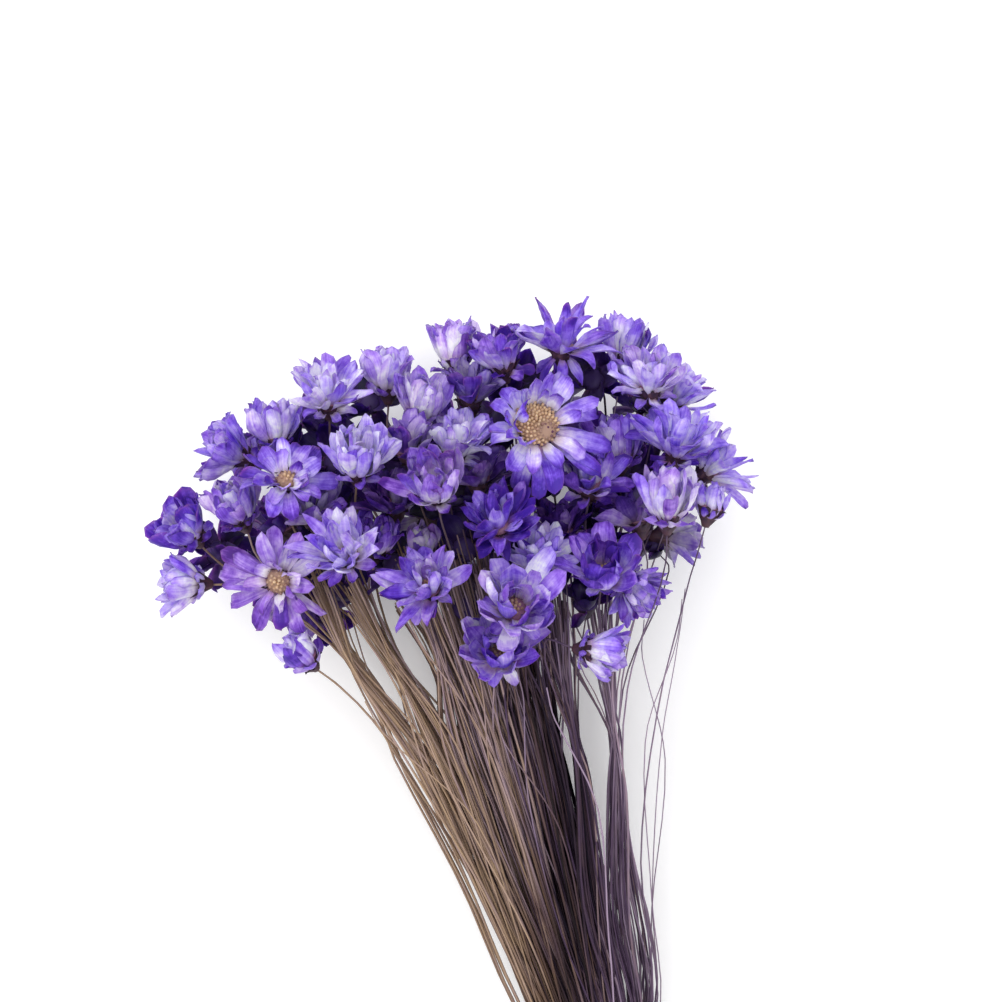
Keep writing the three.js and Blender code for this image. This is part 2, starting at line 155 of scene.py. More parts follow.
# Flowers, in the order of the solids: the middle of the disc, the way the flower faces and how far it
# turns up, in degrees, its form, its petals' length, and how much dye it took and how mauve it is, in
# tenths as judged
FLOWERS = [
    (-66, 128, 9, 140, -62, "half", 9.5, 0.6, 0.3),
    (6, 134, 8.7, 40, -62, "half", 9.5, 0.6, 0.3),
    (-88.2, 127.2, 28, 130, 35, "bowl", 8.8, 0.8, 0),
    (-87.4, 117.2, 30, 175, 15, "cup", 8, 0.3, 0.1),
    (-69.2, 117.8, 40, 240, 72, "open", 11, 0.5, 0.6),
    (-64.2, 102.6, 36, 130, 35, "bud", 8.5, 0.4, 0.2),
    (-77.4, 131, 33, 110, 28, "cup", 9, 0.5, 0.4),
    (-78.6, 143.4, 25, 150, 22, "half", 9.5, 0.5, 0.2),
    (-71, 146.8, 25, 92, 10, "cup", 9, 0.4, 0.1),
    (-67.6, 138, 40, 80, 55, "open", 9.3, 0.5, 0.1),
    (-60, 154, 32, 95, 30, "half", 9.5, 0.3, 0.2),
    (-48, 157.6, 25, 90, 8, "cup", 9, 0.3, 0.3),
    (-53.6, 140.4, 42, 88, 38, "cup", 10.5, 0.2, 0.1),
    (-41.2, 151.6, 31, 90, 28, "cup", 9.5, 0.3, 0.4),
    (-34.2, 144, 36, 80, 28, "half", 9, 0.3, 0.1),
    (-37.8, 135.6, 46, 100, 48, "cup", 11, 0.2, 0.5),
    (-34.4, 162.8, 24, 95, 5, "cup", 9.5, 0.4, 0.4),
    (-24.6, 161.6, 31, 100, 15, "half", 9, 0.7, 0.2),
    (-12.8, 165, 32, 88, 15, "crown", 11, 0.6, 0.1),
    (-18, 149, 42, 60, 62, "great", 11.5, 0.2, 0),
    (0.4, 163.6, 21, 80, 0, "cup", 9.5, 0.4, 0.1),
    (5, 157, 31, 95, 24, "half", 9.5, 0.3, 0.3),
    (10, 154.8, 24, 60, 15, "half", 8.5, 0.4, 0),
    (10.4, 144, 35, 75, 20, "fan", 10.5, 0.5, 0),
    (17.2, 140, 29, 45, 5, "crown", 10, 0.4, 0),
    (8, 131.2, 43, 88, 16, "cup", 11, 0.3, 0.4),
    (17, 132.6, 35, 75, 10, "bud", 6, 0.4, 0),
    (-4.8, 119.2, 42, 85, 48, "bowl", 9.5, 0.3, 0.2),
    (1.2, 117, 36, -45, 30, "half", 7.5, 0.5, 0.3),
    (-6.8, 104, 42, -10, 14, "cup", 7.8, 0.4, 0.2),
    (-22.6, 112.8, 49, 80, 66, "bowl", 12.5, 0.3, 0.3),
    (-25.2, 103.6, 43, 90, 58, "bowl", 11, 0.3, 0.3),
    (-18.2, 121.6, 40, 80, 32, "half", 9.5, 0.4, 0.1),
    (-39.2, 117, 47, 110, 52, "half", 10, 0.5, 0.3),
    (-55.6, 123, 45, 110, 50, "half", 10.5, 0.4, 0.2),
    (-49.6, 125, 37, 80, 30, "cup", 7.5, 0.6, 0.3),
    (-25.6, 129, 43, 100, 45, "half", 10, 0.8, 0.1),
    (-40.5, 125, 43, 90, 30, "bud", 5.5, 0.4, 0.5),
    (-7.2, 137, 36, 85, 32, "half", 9.5, 0.6, 0.3),
    (-62.8, 131, 35, 100, 30, "deep", 8, 0.5, 0.3),
    (-69.2, 128.4, 28, 110, 20, "deep", 8, 0.9, 0.4),
    (-12.5, 127.5, 29, 90, 20, "deep", 8, 0.8, 0.4),
    (-0.8, 143, 29, 90, 15, "cup", 10, 0.6, 0.3),
    (-43.6, 144, 37, 100, 30, "deep", 8, 0.5, 0.4),
    (-31.2, 155, 29, 95, 20, "deep", 8.5, 0.5, 0.1),
    (-46.2, 133, 35, 95, 30, "deep", 8, 0.8, 0.5),
    (-29.6, 138.4, 33, 90, 25, "deep", 8.5, 0.6, 0.4),
    (2.8, 130, 32, 100, 10, "deep", 9, 0.7, 0.4),
    (-67, 115, 19, 220, -35, "deep", 8.5, 0.6, 0.3),
    (-53, 124, 13, 250, -60, "deep", 9, 0.5, 0.3),
    (-53, 142, 13, 110, -50, "deep", 9, 0.6, 0.2),
    (-40, 130, 11, 200, -75, "deep", 9, 0.4, 0.4),
    (-36, 147, 14, 100, -40, "deep", 9, 0.7, 0.1),
    (-24, 136, 11, 60, -70, "deep", 9, 0.4, 0.3),
    (-29, 118, 13, 270, -55, "deep", 8.5, 0.6, 0.2),
    (-14, 150, 13, 85, -40, "deep", 9, 0.5, 0.3),
    (-9, 125, 13, 300, -60, "deep", 9, 0.7, 0.1),
    (9, 127, 24, 10, -20, "deep", 8, 0.4, 0.1),
]

# The parts of a stem's way where it has flared out, is bowed by half and is bowed most
FLARE_PART = 0.2
HALF_BOW_PART = 0.45
BOW_PART = 0.78

# The circles of bows that a flower's stem tries, how many places on its way are tried, and the room
# that is enough between it and the other flowers
BOW_REACHES = (2.5, 5, 7.5, 10)
BOWS_ROUND = 12
BOW_TRIALS = 16
STEM_ROOM = 5

# The stems of the leftmost flowers are pulled in by part of their distance, and those of the rightmost
# by a length and its spread
GATHER_FROM = -30
GATHER = 0.16
RIGHT_FROM = -2
RIGHT_PULL = (-5.5, 1.5)

# Flowers painted almost black, as the shade in the widest gaps deep between the others, each on a stem
# of its own: how many there are, how far apart the two flowers of a gap may be, how much deeper they
# sit, how far inwards, and how far the petals of a flower lie ahead of its middle
SHADE_FILLER_COUNT = 33
GAP_WIDTH = 24
GAP_DEPTH = 11
GAP_INWARDS = 0.08
LOWEST_GAP = 15
PETALS_AHEAD = 4

# Stems that end between the flowers, in tufts: the middle of their ends, how far the ends lie apart,
# how many there are, how far they bow to the right, and how much lighter they are
TUFTS = [
    ((-62, 117, 31), 1.8, 34, 3, 0.1), ((-55, 116, 31), 1.5, 46, 2.5, 0.02),
    ((-44, 120, 32), 2.6, 60, -1, -0.02), ((-37, 121, 32), 3.2, 84, -0.5, 0.04),
    ((-28, 121, 32), 4, 96, 0, -0.04), ((-19, 122, 32), 3.6, 72, 0.5, -0.1),
    ((-13, 111, 31), 1.5, 30, 1.5, 0), ((-4, 109, 32), 1, 18, 0.5, -0.1),
]

# Where the stems draw together into locks: the range that is drawn in and the middle that it is drawn
# to, as distances to the right in 100ths of those up, how strongly, how far from the tie, and the
# length that is bent
LOCKS = [
    (-66, -50, -55.5, 0.75, 103, 27), (-50, -42, -46, 0.7, 102, 26), (-42, -36, -36, 0.6, 102, 26),
    (-15, -6.2, -11.6, 0.75, 84, 40), (-6.2, 4, -1.8, 0.75, 84, 40),
]

# How far short of a lock a stem that joins it may end, and the length by its upper end that stays put
LOCK_MARGIN = 8
LOCK_FADE = 20

# Loose stems that lie over the others: their ends, their bows to the right and up, and half their width
STRAYS = [
    ((-38, 106, 43), (4.5, 3), 0.22), ((-16, 97, 44), (5, 3), 0.2), ((-52, 94, 40), (9, 4), 0.18),
    ((-46, 100, 42), (1, 4), 0.22), ((-31, 104, 44), (-3, 2), 0.2), ((-22, 101, 44), (-4, 2), 0.18),
    ((-44, 112, 41), (6, 4), 0.24), ((-11, 96, 42), (2, 3), 0.22), ((-26, 92, 43), (6, 3), 0.18),
    ((3.8, 110, 33), (5, 2), 0.14), ((11.6, 114, 30), (-4, 0), 0.14), ((12.5, 116, 26), (-1.5, 0), 0.13),
]


def add_node(nodes, kind, **settings):
    """A shader node with its settings, and with its inputs where a setting starts with a capital."""
    node = nodes.new(kind)
    for name, value in settings.items():
        if name[0].isupper():
            node.inputs[name.replace("_", " ")].default_value = value
        else:
            setattr(node, name, value)
    return node


def join(links, *wires):
    """Links shader nodes, each by a node and its output, and a node and its input."""
    for source, output, target, socket in wires:
        links.new(source.outputs[output], target.inputs[socket])


def add_ramp(nodes, *stops):
    """A colour ramp with its stops, each a position and a colour."""
    node = nodes.new("ShaderNodeValToRGB")
    elements = node.color_ramp.elements
    while len(elements) < len(stops):
        elements.new(0.5)
    for element, (position, colour) in zip(elements, stops):
        element.position = position
        element.color = (*colour, 1)
    return node


def read_flower(number, row):
    """A flower's row with its facing direction and the way its own Z turns to it."""
    x, y, z, faces, up, form, petal, dye, mauve = row
    level = math.cos(math.radians(up))
    facing = Vector((
        math.cos(math.radians(faces)) * level,
        math.sin(math.radians(faces)) * level,
        math.sin(math.radians(up)),
    ))
    return SimpleNamespace(
        number=number, middle=Vector((x, y, z)), facing=facing, form=form, petal=petal, dye=dye,
        mauve=mauve, turn=Vector((0, 0, 1)).rotation_difference(facing),
    )


flowers = [read_flower(number, row) for number, row in enumerate(FLOWERS, start=1)]

# The middles of the flowers' discs and calyxes, which the stems of the others keep clear of
cores = KDTree(len(flowers))
for flower in flowers:
    cores.insert(flower.middle - flower.facing * CALYX_DEPTH / 2, flower.number)
cores.balance()

cluster_middle = sum((flower.middle for flower in flowers), Vector()) / len(flowers)
in_sight = [flower for flower in flowers if flower.middle.z > LOWEST_GAP]
gaps = []
for i, one in enumerate(in_sight):
    for other in in_sight[:i]:
        if (one.middle - other.middle).length < GAP_WIDTH:
            gap = ((one.middle + other.middle) / 2).lerp(cluster_middle, GAP_INWARDS)
            gap.z = max(LOWEST_GAP, min(one.middle.z, other.middle.z) - GAP_DEPTH)
            gaps.append(gap)
filled = [(flower.middle + flower.facing * PETALS_AHEAD).xy for flower in in_sight]
for number in range(len(FLOWERS) + 1, len(FLOWERS) + SHADE_FILLER_COUNT + 1):
    widest = max(gaps, key=lambda gap: min((gap.xy - place).length for place in filled))
    filled.append(widest.xy)
    faces, up = random.uniform(45, 135), random.uniform(35, 75)
    flowers.append(read_flower(number, (*widest, faces, up, "withered", 8.5, 0.8, 0.3)))


def clear_bow(flower):
    """The first bow, in widening circles, whose stem keeps the most room to the other flowers."""
    neck = flower.middle - flower.facing * (CALYX_DEPTH + NECK)
    bows = [(0, 0)]
    for reach in BOW_REACHES:
        for i in range(BOWS_ROUND):
            angle = i / BOWS_ROUND * 2 * math.pi
            bows.append((math.cos(angle) * reach, math.sin(angle) * reach))
    rooms = []
    for aside, up in bows:
        room = STEM_ROOM
        for i in range(BOW_TRIALS):
            part = HALF_BOW_PART + (1 - HALF_BOW_PART) * i / (BOW_TRIALS - 1)
            swell = (1 - part) / (1 - BOW_PART)
            if part < BOW_PART:
                swell = 0.5 + 0.5 * (part - HALF_BOW_PART) / (BOW_PART - HALF_BOW_PART)
            point = neck * part + Vector((aside, 0, up)) * swell
            for _, number, distance in cores.find_n(point, 2):
                if number != flower.number:
                    room = min(room, distance)
        rooms.append(room)
    return bows[rooms.index(max(rooms))]


# The line that each stem follows: its upper end, its neck, its bow, half its width, and how much
# lighter it is
lines = []
for flower in flowers:
    end = flower.middle - flower.facing * (CALYX_DEPTH + 0.1)
    bow = (0, 0) if flower.form == "withered" else clear_bow(flower)
    pull = max(0, GATHER_FROM - end.x) * GATHER
    if end.x > RIGHT_FROM:
        pull = random.gauss(*RIGHT_PULL) - bow[0]
    lines.append(SimpleNamespace(
        end=end, neck=end - flower.facing * NECK, bow=Vector((bow[0] + pull, 0, bow[1])),
        thick=0.2 if flower.middle.x > 0 else 0.3, light=0,
    ))
for (x, y, z), spread, count, aside, light in TUFTS:
    for _ in range(count):
        end = Vector((
            random.gauss(x, spread * 0.6), random.gauss(y, 3), min(37, max(14, random.gauss(z, 7))),
        ))
        neck = end * 0.9 + Vector((0, 0, random.uniform(-1, 2)))
        bow = Vector((random.gauss(aside, 2.2), 0, random.gauss(0, 2.4)))
        thick = random.uniform(0.15, 0.3)
        lines.append(SimpleNamespace(end=end, neck=neck, bow=bow, thick=thick, light=light))

for end, (aside, up), thick in STRAYS:
    end = Vector(end)
    bow = Vector((aside, 0, up))
    lines.append(SimpleNamespace(end=end, neck=end * 0.93, bow=bow, thick=thick, light=0.15))

# Where each stem passes through the tie: spread like the flowers, then pushed apart
along = Vector((-math.sin(BUNDLE_LEAN), math.cos(BUNDLE_LEAN), 0))
across = Vector((math.cos(BUNDLE_LEAN), math.sin(BUNDLE_LEAN), 0))
centre = sum((flower.middle for flower in flowers), Vector()) / len(flowers)
for line in lines:
    fan = line.end.x / line.end.y * 100
    level = (line.end.z - centre.z) / DEPTH_A_SLOT
    line.slot = complex((fan - FAN_MIDDLE) / FAN_A_SLOT + random.gauss(0, 0.7), level)
for _ in range(SLOT_ROUNDS):
    for i, one in enumerate(lines):
        for other in lines[:i]:
            apart = one.slot - other.slot
            if 0 < abs(apart) < SLOT_PITCH:
                push = apart * (SLOT_PITCH / abs(apart) - 1) / 3
                one.slot += push
                other.slot -= push
    for line in lines:
        line.slot *= min(1, (BUNDLE_RADIUS - 0.1) / abs(line.slot))


def stem_points(line):
    """Points along the middle of a stem, from its cut end through the tie to its upper end."""
    in_tie = Vector((0, 0, TIE_HEIGHT + line.slot.imag)) + across * line.slot.real
    into = in_tie - along * TIE_LENGTH / 2
    out_of = in_tie + along * TIE_LENGTH / 2
    cut = Vector((0, 0, TIE_HEIGHT + line.slot.imag * TAIL_FLATNESS))
    cut -= along * (TAIL_LENGTH - random.uniform(0, TAIL_UNEVEN))
    cut += across * (line.slot.real * TAIL_SPREAD + random.uniform(-0.3, 0.3))
    way = line.neck - out_of
    flare = out_of + way * FLARE_PART + across * max(0, line.slot.real) * 0.6
    low = out_of + way * HALF_BOW_PART + line.bow * 0.5 + across * max(0, -3 - line.slot.real) * 0.5
    high = out_of + way * BOW_PART + line.bow
    knots = [cut, into, out_of, flare, low, high, line.neck, line.end]
    points = [cut]
    for i, steps in enumerate(STRETCH_STEPS):
        before, here, there, after = knots[max(i - 1, 0)], knots[i], knots[i + 1], knots[min(i + 2, 7)]
        reach = (there - here).length / 3
        leave = here + (there - before).normalized() * reach
        arrive = there - (after - here).normalized() * reach
        points += interpolate_bezier(here, leave, arrive, there, steps + 1)[1:]
    wave = [random.gauss(0, WAVE) for _ in range(4)]
    waving = points[STILL_POINTS:-STILL_POINTS]
    for i, point in enumerate(waving):
        t = i / len(waving)
        swell = math.sin(math.pi * t)
        point.x += swell * (wave[0] * math.sin(5 * t) + wave[1] * math.sin(9 * t + 1) * FINE_WAVE)
        point.z += swell * (wave[2] * math.sin(5 * t + 2) + wave[3] * math.sin(9 * t) * FINE_WAVE)
    for left, right, middle, pull, height, reach in LOCKS:
        level = min(points, key=lambda point: abs(point.y - height))
        place = level.x / level.y * 100
        if left < place <= right and level.y > height - LOCK_MARGIN:
            for point in points:
                near = max(0, 1 - ((point.y - height) / reach) ** 2) ** 2
                near *= min(1, (line.end - point).length / LOCK_FADE)
                point.x += (middle - place) * height / 100 * pull * near
            break
    return points


def cut_rod(name, sides, steps):
    """A straight rod along Z, 1 long and 1 in radius, with rings of points between its steps."""
    blank = bmesh.new()
    bmesh.ops.create_cone(blank, cap_ends=True, segments=sides, radius1=1, radius2=1, depth=1)
    long_edges = [edge for edge in blank.edges if abs(edge.verts[0].co.z - edge.verts[1].co.z) > 0.5]
    bmesh.ops.subdivide_edges(blank, edges=long_edges, cuts=steps - 1)
    mesh = bpy.data.meshes.new(name)
    blank.to_mesh(mesh)
    blank.free()
    return mesh


def carry_rod(shape, rod, points, thick, tone):
    """Adds a straight rod to the shape and carries it ring by ring along the points."""
    first = len(shape.verts)
    shape.from_mesh(rod)
    shape.verts.ensure_lookup_table()
    straight = shape.verts.layers.float_vector["straight"]
    tint = shape.verts.layers.float_color["tint"]
    rings = []
    side = across.copy()
    run = random.uniform(0, 200)
    for i, point in enumerate(points):
        ahead = (points[min(i + 1, len(points) - 1)] - points[max(i - 1, 0)]).normalized()
        side = (side - ahead * side.dot(ahead)).normalized()
        run += (point - points[max(i - 1, 0)]).length
        taper = thick * (CUT_THICKNESS - TAPER * i / (len(points) - 1)) * random.uniform(*UNEVEN)
        rings.append((point, side, ahead.cross(side), taper, run))
    for i in range(first, len(shape.verts)):
        vert = shape.verts[i]
        point, side, up, taper, run = rings[round((vert.co.z + 0.5) * (len(points) - 1))]
        vert[straight] = (vert.co.x * taper, vert.co.y * taper, run)
        vert[tint] = tone
        vert.co = point + side * vert.co.x * taper + up * vert.co.y * taper


def finish_piece(name, shape, node, materials):
    """Brings a shape made in millimetres to its place, in place of a solid of the frame."""
    bmesh.ops.scale(shape, vec=Vector((MM, MM, MM)), verts=shape.verts)
    bmesh.ops.translate(shape, vec=Vector((tie_spot.x, tie_spot.y, 0)), verts=shape.verts)
    mesh = bpy.data.meshes.new(name)
    for face in shape.faces:
        face.smooth = True
    shape.to_mesh(mesh)
    shape.free()
    for material in materials:
        mesh.materials.append(material)
    piece = bpy.data.objects.new(name, mesh)
    bpy.context.scene.collection.objects.link(piece)
    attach(piece, "root")
    if node:
        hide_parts(node)


# How light and how violet the stems are in the middle, how much more so for each slot to the right, and
# how much that varies. The darkening to the right is painted shade, away from the light at the left
LIGHT, LIGHT_ACROSS, LIGHT_SPREAD = 0.27, -0.022, 0.19
VIOLET, VIOLET_ACROSS, VIOLET_SPREAD = 0.47, 0.13, 0.18

# Bands of light and dark stems: how strong they are, how close from side to side and from the front to
# the back, and where they start
BANDS = [(0.13, 2.9, 0.8, 0), (0.09, 6.1, -1.3, 2)]

# A dark streak of painted shade, where the stems lie in shadow deep in the bundle: its distance to the
# right, its width, how much it leans and from where, where it ends, and how softly
SHADE_STREAK_PLACE = -11.5
SHADE_STREAK_WIDTH = 6.5
SHADE_STREAK_LEAN = 0.33
SHADE_STREAK_LEANS_FROM = 76
SHADE_STREAK_TOP = 115
SHADE_STREAK_FADE = 20

# The stems are painted darker just under the flowers, as the flowers' shade: how much, from where, and how
# softly
UNDER_FLOWER_SHADE = 0.5
UNDER_FROM = 98
UNDER_FADE = 22

rod = cut_rod("rod", STEM_SIDES, sum(STRETCH_STEPS))
stem_shape = bmesh.new()
stem_shape.verts.layers.float_vector.new("straight")
stem_tint = stem_shape.verts.layers.float_color.new("tint")
for line in lines:
    real, imag = line.slot.real, line.slot.imag
    violet = min(1, max(0, VIOLET + real * VIOLET_ACROSS + random.gauss(0, VIOLET_SPREAD)))
    bands = sum(strong * math.sin(aside * real + deep * imag + start) for strong, aside, deep, start in BANDS)
    light = LIGHT + real * LIGHT_ACROSS + bands + line.light + random.gauss(0, LIGHT_SPREAD)
    streak_shade = random.uniform(0.45, 1.2) - line.light
    first = len(stem_shape.verts)
    carry_rod(stem_shape, rod, stem_points(line), line.thick, (light, violet, random.random(), 1))
    stem_shape.verts.ensure_lookup_table()
    for i in range(first, len(stem_shape.verts)):
        vert = stem_shape.verts[i]
        # Painted shade: a dark streak deep in the bundle, and darker stems just under the flowers
        away = vert.co.x - SHADE_STREAK_PLACE + max(0, vert.co.y - SHADE_STREAK_LEANS_FROM) * SHADE_STREAK_LEAN
        away /= SHADE_STREAK_WIDTH
        below = min(1, max(0, (SHADE_STREAK_TOP - vert.co.y) / SHADE_STREAK_FADE))
        vert[stem_tint][0] -= streak_shade * math.exp(-away * away) * below
        vert[stem_tint][0] -= UNDER_FLOWER_SHADE * min(1, max(0, (vert.co.y - UNDER_FROM) / UNDER_FADE))
stem_tree = BVHTree.FromBMesh(stem_shape)

stalk, nodes, links, shader = new_material("dry_stalk")
shader.inputs["Roughness"].default_value = 0.6
shader.inputs["Specular IOR Level"].default_value = 0.15
straight = add_node(nodes, "ShaderNodeAttribute", attribute_name="straight")
tint = add_node(nodes, "ShaderNodeAttribute", attribute_name="tint")
parts = add_node(nodes, "ShaderNodeSeparateColor")
stretch = add_node(nodes, "ShaderNodeMapping", Scale=(1, 1, 0.03))
streaks = add_node(nodes, "ShaderNodeTexNoise", Scale=5, Detail=4, Roughness=0.6)
patches = add_node(nodes, "ShaderNodeTexNoise", Scale=0.09, Detail=3)
browns = add_ramp(
    nodes, (0, (0.012, 0.007, 0.007)), (0.55, (0.12, 0.07, 0.046)), (1, (0.38, 0.26, 0.17)),
)
dyed = add_ramp(
    nodes, (0, (0.008, 0.004, 0.012)), (0.55, (0.072, 0.042, 0.085)), (1, (0.35, 0.26, 0.36)),
)
shade = add_node(nodes, "ShaderNodeMath", operation="MULTIPLY_ADD")
shade.inputs[1].default_value = 0.55
amount = add_node(nodes, "ShaderNodeMath", operation="MULTIPLY_ADD")
amount.inputs[1].default_value = 1.6
lower = add_node(nodes, "ShaderNodeMath", operation="MULTIPLY_ADD")
lower.inputs[1].default_value = 0.55
bias = add_node(nodes, "ShaderNodeMath", operation="ADD", use_clamp=True)
bias.inputs[1].default_value = -0.7
place = add_node(nodes, "ShaderNodeTexCoord")
place_parts = add_node(nodes, "ShaderNodeSeparateXYZ")
# Painted shade: the stems darken towards the tie, low and deep in the bundle
depth = add_node(nodes, "ShaderNodeMapRange", From_Min=-0.03, From_Max=0.04, To_Min=-0.28, To_Max=0)
deeper = add_node(nodes, "ShaderNodeMath", operation="ADD")
mix = add_node(nodes, "ShaderNodeMix", data_type="RGBA")
grooves = add_node(nodes, "ShaderNodeBump", Strength=0.35, Distance=0.0001)
join(
    links,
    (straight, "Vector", stretch, "Vector"),
    (stretch, "Vector", streaks, "Vector"),
    (straight, "Vector", patches, "Vector"),
    (tint, "Color", parts, "Color"),
    (streaks, "Fac", shade, 0),
    (parts, "Red", lower, 0),
    (lower, "Value", shade, 2),
    (place, "Object", place_parts, "Vector"),
    (place_parts, "Y", depth, "Value"),
    (depth, "Result", deeper, 0),
    (shade, "Value", deeper, 1),
    (deeper, "Value", browns, "Fac"),
    (deeper, "Value", dyed, "Fac"),
    (patches, "Fac", amount, 0),
    (parts, "Green", amount, 2),
    (amount, "Value", bias, 0),
    (bias, "Value", mix, "Factor"),
    (browns, "Color", mix, "A"),
    (dyed, "Color", mix, "B"),
    (mix, "Result", shader, "Base Color"),
    (streaks, "Fac", grooves, "Height"),
    (grooves, "Normal", shader, "Normal"),
)
finish_piece("wiry_stems", stem_shape, "stems", [stalk])

# The flower heads
# Each is a small papery everlasting daisy: a tan disc of tiny florets, stiff dry petals in three or four
# layers that shingle over one another, and a brown calyx of pointed scales on the end of its stem.
PETAL_THICK = 0.16
DISC_RADIUS = 2.9
DISC_RISE = 1.3
FLORETS = 5.2
GOLDEN_TURN = 2.39996
CALYX_FOOT = 0.75
CALYX_TOP = 0.94
SCALE_WIDTH = 1.9
SCALE_THICK = 0.14
FLOOR_GAP = 0.25
NEIGHBOURS = 26
MOST_CROSSINGS = 12

# The steps by which the disc rises to its middle: how far each is set in, and how high it is
DOME = ((0.28, 0.5), (0.34, 0.4), (0.4, 0.2))

# The rows of scales of a calyx: how many, how far below the disc's rim, and how long
SCALE_ROWS = ((6, 3.9, 2.2), (8, 3.1, 2.6), (9, 2.1, 3.0))

# The layers of petals of each form, from the outermost: how many, the part of the disc's radius
# that they leave from, how far below its rim, their rise from its plane, how much they turn up on
# the way and again at the tip, the part of the petal length they reach, their width, and their dye
FORMS = {
    "open": [
        (6, 0.55, 2.4, -20, -10, -20, 0.5, 2.6, 0.2),
        (9, 0.8, 0.9, 8, -4, -10, 0.96, 3.9, 0.05),
        (9, 0.75, 0.6, 26, -2, -16, 0.82, 3.7, 0.0),
        (7, 0.85, 0.3, 52, 0, 8, 0.5, 3.2, -0.1),
    ],
    "crown": [
        (6, 0.5, 2.6, -40, -20, -10, 0.6, 2.8, 0.1),
        (10, 0.7, 1.2, 14, -2, -14, 1.0, 4.0, 0.05),
        (9, 0.66, 0.8, 36, 2, -8, 1.0, 4.0, 0.0),
        (8, 0.5, 0.3, 58, 4, 0, 0.94, 3.7, -0.05),
    ],
    "fan": [
        (7, 0.5, 2.6, -10, 10, 0, 0.45, 3.0, 0.3),
        (12, 0.7, 1.2, 28, 12, 0, 1.0, 4.0, 0.05),
        (10, 0.66, 0.8, 44, 10, 0, 1.0, 4.0, 0.0),
        (9, 0.5, 0.3, 62, 8, 0, 0.94, 3.6, -0.1),
    ],
    "great": [
        (6, 0.6, 1.8, -24, -14, -20, 0.9, 4.0, 0.2),
        (10, 0.88, 1.0, 20, 6, -24, 0.94, 4.4, 0.12),
        (11, 0.92, 0.6, 42, 6, -16, 0.8, 4.0, 0.0),
        (9, 1.0, 0.3, 62, 10, -8, 0.55, 3.4, -0.2),
    ],
    "bowl": [
        (7, 0.5, 2.4, 16, 10, 0, 0.5, 3.2, 0.2),
        (9, 0.85, 1.0, 28, 46, -4, 0.98, 5.4, 0.04),
        (8, 0.8, 0.7, 44, 44, 0, 0.95, 5.2, 0.0),
        (7, 0.8, 0.3, 60, 36, 0, 0.7, 4.2, 0.0),
    ],
    "half": [
        (7, 0.5, 2.4, 6, 0, -10, 0.5, 2.7, 0.22),
        (12, 0.74, 1.0, 36, 18, -10, 1.0, 3.9, 0.06),
        (10, 0.64, 0.7, 50, 16, -4, 0.98, 3.8, 0.0),
        (9, 0.46, 0.3, 66, 12, 4, 0.86, 3.3, -0.14),
    ],
    "cup": [
        (8, 0.5, 2.4, 24, 20, 0, 0.42, 2.9, 0.25),
        (11, 0.76, 1.0, 40, 46, 4, 1.0, 4.1, 0.08),
        (10, 0.66, 0.6, 50, 42, 6, 0.98, 4.0, -0.04),
        (8, 0.46, 0.3, 66, 30, 8, 0.88, 3.5, -0.22),
    ],
    "bud": [
        (7, 0.55, 2.2, 30, 40, 10, 0.5, 3.2, 0.25),
        (7, 0.82, 0.9, 56, 68, 20, 1.0, 5.4, 0.1),
        (7, 0.65, 0.5, 62, 60, 16, 0.98, 5.2, -0.15),
        (6, 0.35, 0.3, 72, 40, 10, 0.92, 4.4, -0.3),
    ],
    "deep": [
        (9, 0.72, 1.0, 34, 8, -14, 1.05, 4.8, 0.06),
        (8, 0.62, 0.7, 50, 6, -6, 1.0, 4.6, 0.0),
        (6, 0.45, 0.3, 66, 6, 6, 0.88, 4.0, -0.1),
    ],
    # The dark flowers in the gaps, painted almost black as shade, have two layers
    "withered": [
        (6, 0.6, 1.2, -6, 20, 20, 0.9, 5.2, 0.1),
        (6, 0.5, 0.8, 28, 30, 10, 1.0, 5.4, 0.0),
    ],
}

# How pointed the petals of a form are, from 0 to 1. The other forms have petals of every kind
POINTS = {"open": 0.1, "great": 0.1, "bowl": 0, "crown": 0.85, "fan": 0.1, "cup": 0.12}

# The side that a flower's petals slump to, in degrees, and how much, by the flower's number
SLUMPS = {
    5: (-160, 0.8), 10: (150, 0.3), 20: (-40, 1.7), 31: (-60, 0.3), 32: (-90, 0.3), 34: (-120, 0.6),
    37: (-50, 0.8),
}

# The flowers that took more dye at the tips of their petals
TIPPED = {10: 0.2, 16: 0.5, 20: 0.55, 28: 0.3, 36: 0.3}

# The flowers whose inner petals took more dye, or less
INNER = {3: -0.4, 28: 0.5, 31: 0.15, 32: 0.4}

# How dark the petals of a form, or of one flower, are made: most keep their colour, give or take a
# little; the deep flowers and flower 38 are darkened with painted shade, and the gap flowers almost to black
SHADES = {"deep": (0.35, 0.85), "withered": (0.06, 0.3), 38: (0.25, 0.5)}

# The flowers with wider discs, and the hollow in the greatest of them: its place and its reach
DISCS = {5: 2.7, 10: 2.1, 20: 4.7}
GREAT = 20
HOLLOW = (1.9, -1.5, 1.7)

# The part of the disc that shows its florets, where petals don't stand over it
EYES = {"open": 1, "great": 1, "bowl": 0.6}

# How a petal that would cross a neighbour is bent: added rise in degrees, and part of its length
BENDS = [
    (0, 1), (9, 1), (-9, 1), (18, 0.97), (-16, 0.94), (28, 0.95), (8, 0.85), (40, 0.93), (-8, 0.8),
    (20, 0.78), (0, 0.7), (50, 0.8), (32, 0.68), (12, 0.58),
]


